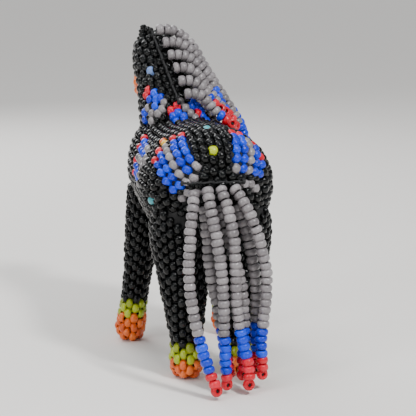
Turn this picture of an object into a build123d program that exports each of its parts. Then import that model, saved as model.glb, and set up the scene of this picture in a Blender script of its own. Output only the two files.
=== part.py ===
from build123d import *
from math import radians, sin, cos, tan
import os

# Small stuffed horse sewn from glass seed beads, standing on four hooves.
# It faces -Y, +X is its own left and +Z is up. Millimetres, real size.
# The sewn beadwork is modelled as skins one bead thick, and each hanging bead strand as a plain tube.

# Beads, thread and clearances
BEAD_D = 2.1            # outside diameter of an 11/0 seed bead
BEAD_LENGTH = 1.3       # its length along the hole
BEAD_HOLE_D = 0.8
BEAD_EDGE_R = 0.35
SKIN = 1.5              # thickness of the stitched skin, its beads sunk a little into the stuffing
SEAM = 0.05             # gap where one sewn piece meets the next
STUFFING_GAP = 0.12     # play between a skin and the stuffing inside it
THREAD_D = 0.7          # doubled and waxed hanging thread

# Stations along the body, the neck and the head. Each is an elliptical cross-section:
# (x centre, y centre, z centre, half width, half height, tilt). A tilt of 0 degrees faces
# straight ahead, 90 faces up, and a negative tilt faces down.
BODY_STATIONS = [
    (0.0, 20.8, 35.8, 2.6, 2.6, 0),
    (0.0, 19.8, 35.6, 5.8, 5.8, 0),
    (0.0, 17.2, 35.2, 9.2, 8.8, 0),
    (0.0, 13.6, 34.6, 11.4, 10.6, 0),
    (0.0, 8.5, 34.2, 12.2, 11.2, 0),
    (0.0, 2.0, 34.4, 11.8, 10.8, 0),
    (0.0, -5.0, 35.0, 11.4, 10.6, 0),
    (0.0, -11.0, 35.8, 11.0, 10.6, 0),
    (0.0, -15.5, 36.6, 9.4, 9.6, 0),
    (0.0, -18.4, 37.4, 6.6, 7.2, 0),
    (0.0, -19.8, 37.8, 3.2, 3.6, 0),
]
NECK_STATIONS = [
    (0.2, -7.0, 37.5, 8.6, 8.2, 30),
    (0.8, -11.0, 43.0, 7.6, 7.6, 48),
    (1.7, -14.3, 48.2, 6.4, 6.6, 58),
    (2.7, -17.4, 53.0, 5.4, 5.7, 56),
    (3.4, -20.0, 56.6, 4.8, 5.0, 50),
    (3.6, -21.2, 58.2, 3.2, 3.4, 50),
]
HEAD_STATIONS = [
    (3.5, -17.8, 57.4, 2.4, 2.2, -12),
    (3.5, -19.2, 57.2, 4.2, 4.0, -16),
    (3.2, -22.4, 56.4, 4.5, 4.6, -24),
    (2.7, -26.2, 54.2, 3.8, 4.2, -34),
    (2.4, -30.0, 51.3, 3.5, 3.7, -40),
    (2.2, -32.8, 48.9, 3.4, 3.4, -40),
    (2.1, -34.4, 47.5, 2.2, 2.1, -40),
]
MUZZLE_SEAM = (2.7, -28.8, 52.2)    # the coloured muzzle starts at this point of the head's axis
MUZZLE_TILT = -38

# Stations down a left leg: (x, y, z, half width, half depth). The right legs mirror them.
HIND_LEG = [
    (6.0, 12.0, 31.0, 5.0, 7.0),
    (5.8, 12.6, 25.0, 5.4, 6.2),
    (5.4, 13.2, 20.0, 4.9, 5.0),
    (5.2, 13.8, 15.0, 4.3, 4.3),
    (5.0, 14.0, 10.0, 3.5, 3.5),
    (4.8, 14.0, 5.6, 3.1, 3.1),
    (4.7, 13.8, 2.2, 3.2, 3.3),
    (4.7, 13.8, 0.0, 2.2, 2.4),
]
FRONT_LEG = [
    (6.4, -10.5, 32.0, 4.6, 5.4),
    (7.2, -11.5, 26.0, 4.1, 4.4),
    (8.2, -12.5, 18.0, 3.3, 3.5),
    (9.1, -13.5, 10.0, 2.8, 2.9),
    (9.6, -14.0, 6.0, 2.9, 3.0),
    (9.9, -14.4, 2.4, 3.1, 3.2),
    (9.9, -14.4, 0.0, 2.1, 2.3),
]
HIND_BANDS = (3.7, 6.2)     # top of the orange hoof, top of the green cuff
FRONT_BANDS = (4.8, 7.7)

# Ears, placed from the middle of the head
HEAD_MIDDLE_X = 3.4
EAR_OUT = 2.0
EAR_BASE = (-19.8, 60.3)    # y, z of an ear's foot
EAR_LEAN = 14               # degrees outwards
EAR_SIZES = [(0.0, 1.4, 0.9), (1.0, 1.3, 0.85), (1.9, 0.5, 0.45)]     # height, half width, half depth
# Eye beads, seated in the skin of the head with their holes facing outwards
EYE_SECTION = (2.8, -25.6, 54.6, -32)   # x, y, z and tilt of the head's cross-section through the eyes
EYE_ROUND = 42              # degrees from the top of the head
EYE_REACH = 3.85            # from the head's axis to the middle of the bead
EYE_ROOM = 0.1              # gap between a bead and the skin that it sits in

# Threads that the strands hang from: the tail's two lie across the rump, the mane's along the crest
TAIL_OUTER_THREAD = (21.5, 36.5, -3.9, 7.4)     # y, z, right end x, left end x
TAIL_INNER_THREAD = (21.4, 33.5, -4.3, 5.4)
KNOT_R = 0.6
KNOT_LENGTH = 0.9
MANE_THREAD_POLL = (4.9, -16.9, 61.4)
MANE_THREAD_WITHERS = (2.0, -4.2, 47.9)

# Routes of the hanging strands, root to tip, along the middle of the beads
TAIL_ROUTES = {
    "tail_strand_1": [
        (5.3, 22.0, 35.2), (5.7, 23.6, 33.4), (6.3, 24.8, 30.6), (6.8, 25.6, 26.8),
        (7.1, 26.1, 22.6), (7.0, 26.5, 18.6), (6.4, 26.9, 14.6), (5.6, 27.3, 10.6),
        (4.5, 27.9, 6.5), (3.4, 28.6, 3.2), (2.6, 29.0, 0.8)],
    "tail_strand_2": [
        (3.0, 22.1, 35.8), (3.0, 23.6, 34.1), (2.7, 24.7, 31.2), (2.0, 25.4, 27.4),
        (1.5, 25.7, 23.0), (1.0, 25.9, 18.8), (0.9, 26.0, 14.8), (0.8, 26.1, 10.6),
        (0.6, 26.0, 6.6), (0.5, 25.9, 3.6), (0.2, 25.8, 0.9)],
    "tail_strand_3": [
        (0.7, 22.2, 35.9), (0.3, 23.8, 34.3), (-0.4, 25.0, 31.2), (-1.0, 25.7, 26.8),
        (-1.2, 25.9, 22.6), (-1.2, 26.0, 18.6), (-1.5, 26.0, 14.8), (-1.9, 26.1, 11.2),
        (-2.8, 26.4, 7.6), (-3.5, 26.8, 4.2), (-3.4, 27.2, 1.0)],
    "tail_strand_4": [
        (-1.6, 22.1, 35.8), (-2.8, 23.5, 34.2), (-4.4, 24.6, 30.6), (-5.8, 25.2, 26.4),
        (-6.7, 25.4, 22.2), (-7.0, 25.5, 18.6), (-6.6, 25.3, 14.8), (-6.1, 25.2, 11.0),
        (-6.1, 25.0, 7.4), (-6.2, 24.9, 4.4), (-6.3, 24.9, 2.0)],
    "tail_strand_5": [
        (3.3, 21.8, 32.5), (3.4, 22.6, 30.1), (3.2, 23.1, 27.2), (2.9, 23.4, 23.4),
        (2.5, 23.6, 19.6), (1.7, 23.7, 15.8), (1.0, 23.8, 12.2), (0.4, 23.8, 8.6),
        (-0.3, 23.7, 5.2), (-0.8, 23.5, 2.2)],
    "tail_strand_6": [
        (0.7, 21.9, 32.6), (0.3, 22.9, 30.2), (-0.6, 23.4, 27.0), (-1.7, 23.6, 23.4),
        (-2.7, 23.7, 19.6), (-3.2, 23.8, 15.6), (-3.3, 23.8, 11.8), (-3.1, 23.9, 8.2),
        (-3.0, 24.0, 5.0), (-3.1, 24.2, 2.0)],
    "tail_strand_7": [
        (-2.2, 21.7, 32.6), (-3.3, 22.4, 30.0), (-4.2, 22.7, 26.8), (-4.9, 22.9, 23.2),
        (-5.5, 23.0, 19.4), (-5.7, 23.0, 15.6), (-5.6, 22.9, 11.8), (-5.6, 22.8, 8.4),
        (-5.9, 22.7, 5.2), (-6.0, 22.5, 2.4)],
}
# The mane falls to the horse's right. Its first strand hangs at the poll, its last at the withers.
# The first two drape furthest out, and the last three fall down the side of the neck onto the shoulder.
MANE_ROUTES = {
    1: [(4.0, -15.9, 61.2), (2.0, -15.9, 61.5), (-0.1, -15.9, 60.9), (-2.0, -15.8, 59.4), (-3.7, -15.7, 57.2),
        (-5.2, -15.5, 54.4), (-6.9, -15.2, 51.4), (-8.9, -14.9, 48.4), (-11.0, -14.6, 45.4),
        (-12.9, -14.4, 42.0), (-13.6, -14.2, 38.2)],
    2: [(3.4, -13.6, 58.8), (1.4, -13.6, 59.2), (-0.6, -13.6, 58.6), (-2.5, -13.4, 57.2), (-4.2, -13.2, 55.2),
        (-5.8, -13.0, 52.6), (-7.5, -12.6, 49.8), (-9.4, -12.3, 46.8), (-11.3, -12.1, 43.7),
        (-13.0, -11.9, 40.2), (-13.5, -11.7, 36.4)],
    3: [(2.8, -11.4, 56.5), (0.9, -11.3, 56.8), (-1.1, -11.2, 56.3), (-3.0, -11.0, 55.0), (-4.6, -10.7, 53.1),
        (-5.9, -10.4, 50.5), (-7.3, -10.1, 47.6), (-9.1, -9.8, 44.8), (-10.8, -9.6, 42.2)],
    4: [(2.3, -9.1, 54.1), (0.3, -9.1, 54.5), (-1.6, -9.0, 53.9), (-3.1, -8.9, 52.5), (-4.5, -8.6, 50.2),
        (-5.9, -8.2, 48.1), (-7.1, -7.8, 46.5), (-8.2, -7.4, 45.2)],
    5: [(1.7, -6.9, 51.8), (-0.2, -6.8, 52.1), (-2.0, -6.7, 51.5), (-3.4, -6.6, 50.1), (-4.5, -6.4, 48.3),
        (-5.7, -6.1, 46.9), (-6.8, -5.6, 46.0)],
    6: [(1.1, -4.6, 49.4), (-0.8, -4.5, 49.8), (-2.5, -4.4, 49.2), (-3.8, -4.2, 47.7), (-5.0, -3.8, 46.2),
        (-6.6, -3.5, 45.3), (-8.4, -3.3, 44.3)],
}

REACH = 60              # longer than any part of the figure, for cutting halves and slices
LENGTH_SHIFT = 6.85     # moves the middle of the figure's length to Y 0

# Bend radius of a strand, as a share of the shorter of its two runs
BEND_SHARE = 0.45


os.makedirs("parts", exist_ok=True)


def station_plane(x, y, z, tilt):
    """Plane of a cross-section that faces forwards and, by its tilt, up."""
    return Plane(origin=(x, y, z), x_dir=(1, 0, 0), z_dir=(0, -cos(radians(tilt)), sin(radians(tilt))))


def lofted(stations, shrink=0.0):
    """Solid through elliptical stations, thinner all round by shrink and grown where it is negative."""
    with BuildPart() as form:
        for x, y, z, half_width, half_height, tilt in stations:
            with BuildSketch(station_plane(x, y, z, tilt)):
                Ellipse(half_width - shrink, half_height - shrink)
        loft()
    return form.part


def shortened(stations, depth):
    """The same stations with both closed ends pulled in along the axis by depth."""
    first, last = stations[0], stations[-1]
    start = Vector(*stations[1][:3]) - Vector(*first[:3])
    end = Vector(*stations[-2][:3]) - Vector(*last[:3])
    new_first = Vector(*first[:3]) + start.normalized() * depth
    new_last = Vector(*last[:3]) + end.normalized() * depth
    inner = [s for s in stations if depth < (Vector(*s[:3]) - Vector(*first[:3])).length
             and depth < (Vector(*s[:3]) - Vector(*last[:3])).length]
    ends = [(*tuple(new_first), *first[3:]), (*tuple(new_last), *last[3:])]
    return [ends[0], *inner, ends[1]]


def lofted_leg(stations, side, shrink=0.0):
    """Leg through horizontal elliptical stations, on the left for side 1 and on the right for side -1."""
    with BuildPart() as form:
        for x, y, z, half_width, half_depth in stations:
            with BuildSketch(Plane(origin=(side * x, y, z), x_dir=(1, 0, 0), z_dir=(0, 0, 1))):
                Ellipse(half_width - shrink, half_depth - shrink)
        loft()
    return form.part


def save(part, name):
    """Labels a finished piece and writes it to its own file."""
    placed = part.moved(Location((0, LENGTH_SHIFT, 0)))
    placed.label = name
    export_step(placed, f"parts/{name}.step")




def trimmed(part, *cutters):
    """The largest solid that is left of a part once other parts are cut from it."""
    with BuildPart() as rest:
        add(part)
        for cutter in cutters:
            add(cutter, mode=Mode.SUBTRACT)
    return max(rest.part.solids(), key=lambda solid: solid.volume)


def banded(part, low, high):
    """The slice of a leg between two heights."""
    with BuildPart() as band:
        add(part)
        with Locations((0, 0, (low + high) / 2)):
            Box(2 * REACH, 2 * REACH, high - low, mode=Mode.INTERSECT)
    return max(band.part.solids(), key=lambda solid: solid.volume)


# ---- Body ----
body_form = lofted(BODY_STATIONS)
body_clear = lofted(BODY_STATIONS, -SEAM)
body_hollow = lofted(shortened(BODY_STATIONS, SKIN), SKIN)
with BuildPart() as body_beadwork:
    add(body_form)
    add(body_hollow, mode=Mode.SUBTRACT)
save(body_beadwork.part, "body_beadwork")

with BuildPart() as body_stuffing:
    add(lofted(shortened(BODY_STATIONS, SKIN + STUFFING_GAP), SKIN + STUFFING_GAP))
save(body_stuffing.part, "body_stuffing")

# ---- Neck, sewn onto the front of the body ----
neck_form = lofted(NECK_STATIONS)
neck_clear = lofted(NECK_STATIONS, -SEAM)
with BuildPart() as neck_skin:
    add(neck_form)
    add(lofted(shortened(NECK_STATIONS, SKIN), SKIN), mode=Mode.SUBTRACT)
save(trimmed(neck_skin.part, body_clear), "neck_beadwork")
neck_fill = lofted(shortened(NECK_STATIONS, SKIN + STUFFING_GAP), SKIN + STUFFING_GAP)
save(trimmed(neck_fill, body_clear), "neck_stuffing")

# ---- Head and muzzle ----
head_form = lofted(HEAD_STATIONS)
with BuildPart() as head_skin:
    add(head_form)
    add(lofted(shortened(HEAD_STATIONS, SKIN), SKIN), mode=Mode.SUBTRACT)
muzzle_seam = station_plane(*MUZZLE_SEAM, MUZZLE_TILT)
with BuildPart() as muzzle_side:
    with Locations(muzzle_seam.offset(-SEAM)):
        Box(REACH, REACH, REACH, align=(Align.CENTER, Align.CENTER, Align.MIN))
with BuildPart() as head_side:
    with Locations(muzzle_seam):
        Box(REACH, REACH, REACH, align=(Align.CENTER, Align.CENTER, Align.MAX))
eye_planes = {}
eye_pockets = []
eye_x, eye_y, eye_z, eye_tilt = EYE_SECTION
for side_name, side in (("left", 1), ("right", -1)):
    outward = Vector(
        side * sin(radians(EYE_ROUND)),
        cos(radians(EYE_ROUND)) * sin(radians(eye_tilt)),
        cos(radians(EYE_ROUND)) * cos(radians(eye_tilt)))
    eye_planes[side_name] = Plane(origin=Vector(eye_x, eye_y, eye_z) + outward * EYE_REACH, z_dir=outward)
    with BuildPart() as pocket:
        with BuildSketch(eye_planes[side_name].offset(-BEAD_LENGTH / 2 - EYE_ROOM)):
            Circle(BEAD_D / 2 + EYE_ROOM)
        extrude(amount=2 * BEAD_LENGTH)
    eye_pockets.append(pocket.part)
save(trimmed(head_skin.part, neck_clear, muzzle_side.part, *eye_pockets), "head_beadwork")
save(trimmed(head_skin.part, neck_clear, head_side.part), "muzzle_beadwork")
head_fill = lofted(shortened(HEAD_STATIONS, SKIN + STUFFING_GAP), SKIN + STUFFING_GAP)
save(trimmed(head_fill, neck_clear), "head_stuffing")
head_clear = lofted(HEAD_STATIONS, -SEAM)

# ---- Ears and eyes ----
for side_name, side in (("left", 1), ("right", -1)):
    ear_y, ear_z = EAR_BASE
    ear_foot = Plane(
        origin=(HEAD_MIDDLE_X + side * EAR_OUT, ear_y, ear_z),
        x_dir=(cos(radians(EAR_LEAN)), 0, -side * sin(radians(EAR_LEAN))),
        z_dir=(side * sin(radians(EAR_LEAN)), 0, cos(radians(EAR_LEAN))))
    with BuildPart() as ear:
        for height, half_width, half_depth in EAR_SIZES:
            with BuildSketch(ear_foot.offset(height)):
                Ellipse(half_width, half_depth)
        loft()
    save(trimmed(ear.part, head_clear, neck_clear), f"{side_name}_ear")

    with BuildPart() as eye:
        with BuildSketch(eye_planes[side_name]):
            Circle(BEAD_D / 2)
            Circle(BEAD_HOLE_D / 2, mode=Mode.SUBTRACT)
        extrude(amount=BEAD_LENGTH / 2, both=True)
        fillet(eye.edges().filter_by(GeomType.CIRCLE).sort_by(SortBy.RADIUS)[-2:], BEAD_EDGE_R)
    save(eye.part, f"{side_name}_eye_bead")

# ---- Legs: a black skin, a green cuff and an orange hoof round one stuffed core ----
for leg_name, leg_stations, bands in (("hind", HIND_LEG, HIND_BANDS), ("front", FRONT_LEG, FRONT_BANDS)):
    for side_name, side in (("left", 1), ("right", -1)):
        hoof_top, cuff_top = bands
        outer = lofted_leg(leg_stations, side)
        core_stations = [s for s in leg_stations if s[2] > SKIN]
        hollow = lofted_leg(core_stations, side, SKIN)
        with BuildPart() as leg_skin:
            add(outer)
            add(hollow, mode=Mode.SUBTRACT)
        skin = trimmed(leg_skin.part, body_clear)
        save(banded(skin, cuff_top, REACH), f"{leg_name}_{side_name}_leg_beadwork")
        save(banded(skin, hoof_top, cuff_top - SEAM), f"{leg_name}_{side_name}_cuff_beadwork")
        save(banded(skin, 0, hoof_top - SEAM), f"{leg_name}_{side_name}_hoof_beadwork")
        core = lofted_leg(core_stations, side, SKIN + STUFFING_GAP)
        save(banded(trimmed(core, body_clear), core_stations[-1][2] + STUFFING_GAP, REACH),
             f"{leg_name}_{side_name}_leg_stuffing")


def hanging_thread(start, end):
    """Straight hanging thread between two points, with a knot at each end that keeps it from pulling through."""
    line = Vector(*end) - Vector(*start)
    first_knot = Plane(origin=start, z_dir=line)
    with BuildPart() as thread:
        with BuildSketch(first_knot):
            Circle(THREAD_D / 2)
        extrude(amount=line.length)
        with BuildSketch(first_knot, first_knot.offset(line.length - KNOT_LENGTH)):
            Circle(KNOT_R)
        extrude(amount=KNOT_LENGTH)
    return thread.part


def strand(name, points):
    """Bead strand as a plain tube along straight runs joined by tangent arcs. Prints the bend radii."""
    route = [Vector(*p) for p in points]
    runs = [b - a for a, b in zip(route, route[1:])]
    radii = []
    for before, after in zip(runs, runs[1:]):
        turn = before.get_angle(after)
        radii.append(BEND_SHARE * min(before.length, after.length) / tan(radians(turn) / 2))
    with BuildPart() as tube:
        with BuildLine():
            path = FilletPolyline(*route, radius=radii)
        with BuildSketch(Plane(origin=route[0], z_dir=runs[0])):
            Circle(BEAD_D / 2)
        sweep()
    print(f"{name}: length {path.length:.1f} mm, smallest bend radius {min(radii):.1f} mm, radii",
          ", ".join(f"{r:.1f}" for r in radii))
    return tube.part


# ---- Tail ----
for thread_name, (y, z, right_x, left_x) in (
        ("tail_outer_thread", TAIL_OUTER_THREAD), ("tail_inner_thread", TAIL_INNER_THREAD)):
    save(hanging_thread((right_x, y, z), (left_x, y, z)), thread_name)
for name, points in TAIL_ROUTES.items():
    save(strand(name, points), name)

# ---- Mane ----
save(hanging_thread(MANE_THREAD_POLL, MANE_THREAD_WITHERS), "mane_thread")
for number, route in MANE_ROUTES.items():
    save(strand(f"mane_strand_{number}", route), f"mane_strand_{number}")
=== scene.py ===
import bpy
import math
import random
import numpy as np
from mathutils import Matrix, Vector


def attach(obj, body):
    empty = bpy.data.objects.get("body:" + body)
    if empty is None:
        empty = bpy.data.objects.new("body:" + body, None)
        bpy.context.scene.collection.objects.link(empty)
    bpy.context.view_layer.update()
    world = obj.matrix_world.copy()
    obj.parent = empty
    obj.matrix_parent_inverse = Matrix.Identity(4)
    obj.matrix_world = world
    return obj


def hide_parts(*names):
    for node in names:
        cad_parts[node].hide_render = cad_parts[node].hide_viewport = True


# Small stuffed horse sewn from glass seed beads, in tubular peyote stitch. It faces -Y, +X is its own left.
# Every skin is made of separate beads with their holes running round the form, in columns that are offset
# by half a bead from their neighbours. Stations and routes are those of the CAD, in millimetres.

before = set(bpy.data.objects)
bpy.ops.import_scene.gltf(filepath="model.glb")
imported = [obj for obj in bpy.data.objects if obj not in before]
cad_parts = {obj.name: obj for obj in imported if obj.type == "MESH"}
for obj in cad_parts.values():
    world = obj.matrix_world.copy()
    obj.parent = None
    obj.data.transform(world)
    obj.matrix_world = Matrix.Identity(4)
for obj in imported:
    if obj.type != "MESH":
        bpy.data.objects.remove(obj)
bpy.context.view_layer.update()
MM = 0.001
SHIFT = 6.85            # the CAD's move along Y that centres the figure
rng = random.Random(7)

# ------------------------------------------------------------------ camera
CAMERA_AZIMUTH = 166.5
CAMERA_ELEVATION = 9.6
CAMERA_DISTANCE = 246.0
CAMERA_TARGET = (0.0, 10.5 + SHIFT, 30.2)
FOCAL_PX, PICTURE_PX = 1360, 416
SENSOR = 36.0
azimuth, elevation = math.radians(CAMERA_AZIMUTH), math.radians(CAMERA_ELEVATION)
back = Vector((math.sin(azimuth) * math.cos(elevation), -math.cos(azimuth) * math.cos(elevation),
               math.sin(elevation)))
camera_data = bpy.data.cameras.new("camera")
camera_data.sensor_width = SENSOR
camera_data.lens = SENSOR * FOCAL_PX / PICTURE_PX
camera_data.clip_start = 0.005
camera_data.dof.use_dof = False
camera = bpy.data.objects.new("camera", camera_data)
bpy.context.collection.objects.link(camera)
camera.location = (Vector(CAMERA_TARGET) + back * CAMERA_DISTANCE) * MM
camera.rotation_euler = back.to_track_quat("Z", "Y").to_euler()
bpy.context.scene.camera = camera

# ------------------------------------------------------------------ beads
BEAD_R = 1.05
BEAD_L = 1.3
HOLE_R = 0.36
END_DISH = 0.03         # the flat end falls this much towards the hole
HOLE_LIP = (0.14, 0.16)  # width and depth of the slope from the end into the hole
PITCH_ROUND = 1.36      # spacing of neighbouring columns
PITCH_ALONG = 1.94      # spacing of the beads of one column
LEVEL = PITCH_ALONG / 2  # neighbouring columns are half a bead off
# With this room each side, a bead nests between two of the next column, half a bead off
ROOM_ROUND = PITCH_ROUND / math.sqrt(0.75)


def bead_mesh(radius=BEAD_R, segments=16, rounding=0.56):
    """Vertices and faces of one bead, a rounded ring about its own X axis, in millimetres."""
    half = BEAD_L / 2
    # half of the outline: the round shoulder, the flat end round the hole, and the hole's wall
    profile = []
    for k in range(5):
        t = k / 4 * math.pi / 2
        profile.append((half - rounding * (1 - math.sin(t)), radius - 0.85 * rounding * (1 - math.cos(t))))
    profile.append((half - END_DISH, HOLE_R + HOLE_LIP[0]))
    profile.append((half - HOLE_LIP[1], HOLE_R))
    loop = profile[::-1] + [(-x, r) for x, r in profile]
    count = len(loop)
    verts, faces = [], []
    for s in range(segments):
        phi = 2 * math.pi * s / segments
        for x, r in loop:
            verts.append((x, r * math.cos(phi), r * math.sin(phi)))
    for s in range(segments):
        n = (s + 1) % segments
        for k in range(count):
            m = (k + 1) % count
            faces.append((s * count + k, s * count + m, n * count + m, n * count + k))
    return np.array(verts), np.array(faces)


def link(obj):
    bpy.context.collection.objects.link(obj)
    return obj


def mesh_object(name, verts, faces, materials, face_slots=None, tint=None):
    """Smooth mesh object from vertices in millimetres, with an optional per-vertex tint for its material."""
    mesh = bpy.data.meshes.new(name)
    mesh.from_pydata((np.asarray(verts) * MM).tolist(), [], [tuple(int(i) for i in f) for f in faces])
    for m in materials:
        mesh.materials.append(m)
    if face_slots is not None:
        mesh.polygons.foreach_set("material_index", np.asarray(face_slots, dtype=np.int32))
    if tint is not None:
        values = mesh.attributes.new("tint", "FLOAT", "POINT").data
        values.foreach_set("value", np.asarray(tint, dtype=np.float32))
    mesh.polygons.foreach_set("use_smooth", [True] * len(mesh.polygons))
    mesh.update()
    return link(bpy.data.objects.new(name, mesh))


SKIN_BEAD = bead_mesh(radius=1.0)
STRAND_BEAD = bead_mesh(segments=20)


def frames_of(axis, out):
    """Rotation whose X is the bead's hole axis and whose Z points out of the surface."""
    x = axis / np.linalg.norm(axis)
    z = out - x * np.dot(out, x)
    z = z / np.linalg.norm(z)
    return np.stack([x, np.cross(z, x), z], axis=1)


class Bead:
    """One bead: where its middle is, its hole's direction, the surface's outward direction and its colour."""

    def __init__(self, at, axis, out, colour="black", column=0, level=0, scale=1.0):
        self.at, self.axis, self.out = np.asarray(at, float), np.asarray(axis, float), np.asarray(out, float)
        self.colour, self.column, self.level, self.scale = colour, column, level, scale
        self.width = 1.0    # how much longer along its hole than a plain bead


def jittered(bead, tilt=4.0, shift=0.05):
    """Each hand-sewn bead sits a little askew, and no two are quite the same size."""
    axes = frames_of(bead.axis, bead.out)
    # a bead is round, so its turn about its own hole doesn't show and only the other two are used
    _, pitch, yaw = [math.radians(rng.gauss(0, tilt)) for _ in range(3)]
    turn = np.array(Matrix.Rotation(pitch, 3, "Y") @ Matrix.Rotation(yaw, 3, "Z"))
    size = np.array([rng.gauss(1, 0.045), 0, 0]) + np.array([0, 1, 1]) * rng.gauss(1, 0.022)
    move = np.array([rng.gauss(0, shift) for _ in range(3)])
    size[0] *= bead.width
    return axes @ turn, size * bead.scale, bead.at + move


def beads_to_mesh(beads):
    """All of these beads as one mesh: vertices, faces and a tint per vertex, one value for each bead."""
    verts_0, faces_0 = SKIN_BEAD
    verts, faces, tints = [], [], []
    for i, bead in enumerate(beads):
        turn, size, at = jittered(bead)
        verts.append((verts_0 * size) @ turn.T + at)
        faces.append(faces_0 + i * len(verts_0))
        tints.append(np.full(len(verts_0), rng.random()))
    return np.vstack(verts), np.vstack(faces), np.concatenate(tints)


# ------------------------------------------------------------------ materials
def nodes_for(name):
    material = bpy.data.materials.new(name)
    material.use_nodes = True
    tree = material.node_tree
    return material, tree, tree.nodes["Principled BSDF"]


CLOUD_SHARE = 0.05      # how much of a bead's shade comes from clouding in the glass


def bead_material(name, colour, dark, light, roughness=0.12, coat=0.3, specular=0.4):
    """Opaque glass: a shade of its own for each bead, fine clouding, a faint grind and a clear surface."""
    material, tree, shader = nodes_for(name)
    new, wire = tree.nodes.new, tree.links.new
    tint = new("ShaderNodeAttribute")
    tint.attribute_name = "tint"
    ramp = new("ShaderNodeValToRGB")
    ramp.color_ramp.elements[0].color = (*dark, 1)
    ramp.color_ramp.elements[1].color = (*light, 1)
    middle = ramp.color_ramp.elements.new(0.5)
    middle.color = (*colour, 1)
    coords = new("ShaderNodeTexCoord")
    cloud = new("ShaderNodeTexNoise")
    cloud.inputs["Scale"].default_value = 900.0
    cloud.inputs["Detail"].default_value = 4.0
    wire(coords.outputs["Object"], cloud.inputs["Vector"])
    mix = new("ShaderNodeMath")
    mix.operation = "MULTIPLY_ADD"
    mix.inputs[1].default_value = CLOUD_SHARE
    wire(cloud.outputs["Fac"], mix.inputs[0])
    wire(tint.outputs["Fac"], mix.inputs[2])
    wire(mix.outputs[0], ramp.inputs["Fac"])
    wire(ramp.outputs["Color"], shader.inputs["Base Color"])
    rough = new("ShaderNodeMapRange")
    rough.inputs["To Min"].default_value = roughness * 0.7
    rough.inputs["To Max"].default_value = roughness * 1.6
    wire(cloud.outputs["Fac"], rough.inputs["Value"])
    wire(rough.outputs["Result"], shader.inputs["Roughness"])
    grain = new("ShaderNodeTexNoise")
    grain.inputs["Scale"].default_value = 2600.0
    grain.inputs["Detail"].default_value = 2.0
    wire(coords.outputs["Object"], grain.inputs["Vector"])
    bump = new("ShaderNodeBump")
    bump.inputs["Strength"].default_value = 0.12
    bump.inputs["Distance"].default_value = 0.00006
    wire(grain.outputs["Fac"], bump.inputs["Height"])
    wire(bump.outputs["Normal"], shader.inputs["Normal"])
    shader.inputs["Coat Weight"].default_value = coat
    shader.inputs["Coat Roughness"].default_value = 0.05
    shader.inputs["IOR"].default_value = 1.52
    shader.inputs["Specular IOR Level"].default_value = specular
    return material


# each colour's middle, darkest and lightest shade
COLOURS = {
    "black": bead_material("black glass", (0.0018, 0.002, 0.0022), (0.001, 0.001, 0.0012),
                           (0.004, 0.0045, 0.005), roughness=0.07, coat=0.0, specular=0.24),
    "grey": bead_material("warm grey glass", (0.185, 0.17, 0.177), (0.14, 0.128, 0.134), (0.24, 0.222, 0.23),
                          roughness=0.26, coat=0.25),
    "blue": bead_material("cobalt blue glass", (0.0012, 0.03, 0.56), (0.001, 0.02, 0.42),
                          (0.003, 0.055, 0.72), roughness=0.22, coat=0.2, specular=0.3),
    "red": bead_material("coral red glass", (0.56, 0.004, 0.018), (0.45, 0.003, 0.012), (0.68, 0.012, 0.035),
                         roughness=0.22, coat=0.2, specular=0.3),
    "turquoise": bead_material("turquoise glass", (0.045, 0.38, 0.43), (0.035, 0.31, 0.36),
                               (0.09, 0.47, 0.52)),
    "chartreuse": bead_material("yellow-green glass", (0.3, 0.38, 0.003), (0.2, 0.25, 0.002),
                                (0.4, 0.48, 0.008), roughness=0.25, coat=0.25),
    "orange": bead_material("orange glass", (0.72, 0.115, 0.008), (0.58, 0.08, 0.005), (0.82, 0.17, 0.015),
                            roughness=0.28, coat=0.25),
    "yellow": bead_material("yellow glass", (0.62, 0.36, 0.02), (0.5, 0.28, 0.015), (0.7, 0.45, 0.05)),
    "pale": bead_material("pale blue glass", (0.16, 0.24, 0.5), (0.12, 0.2, 0.42), (0.22, 0.32, 0.6)),
}


def thread_material(name, colour):
    """Waxed beading thread, or the core whose near-black colour is painted shade between the beads: twisted
    fibres that catch little light.
    """
    material, tree, shader = nodes_for(name)
    new, wire = tree.nodes.new, tree.links.new
    coords = new("ShaderNodeTexCoord")
    twist = new("ShaderNodeTexWave")
    twist.inputs["Scale"].default_value = 1500.0
    twist.inputs["Distortion"].default_value = 3.0
    twist.inputs["Detail"].default_value = 3.0
    wire(coords.outputs["Object"], twist.inputs["Vector"])
    ramp = new("ShaderNodeValToRGB")
    ramp.color_ramp.elements[0].color = (*[c * 0.55 for c in colour], 1)
    ramp.color_ramp.elements[1].color = (*[min(1, c * 1.5) for c in colour], 1)
    wire(twist.outputs["Fac"], ramp.inputs["Fac"])
    wire(ramp.outputs["Color"], shader.inputs["Base Color"])
    bump = new("ShaderNodeBump")
    bump.inputs["Strength"].default_value = 0.5
    bump.inputs["Distance"].default_value = 0.0001
    wire(twist.outputs["Fac"], bump.inputs["Height"])
    wire(bump.outputs["Normal"], shader.inputs["Normal"])
    shader.inputs["Roughness"].default_value = 0.75
    return material


THREAD = thread_material("waxed thread", (0.006, 0.006, 0.007))
# the core is darker than the waxed thread: its colour is painted shade for the gaps between the beads
CORE_PAINTED_SHADE = thread_material("core thread in painted shade", (0.0025, 0.0025, 0.003))

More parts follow.
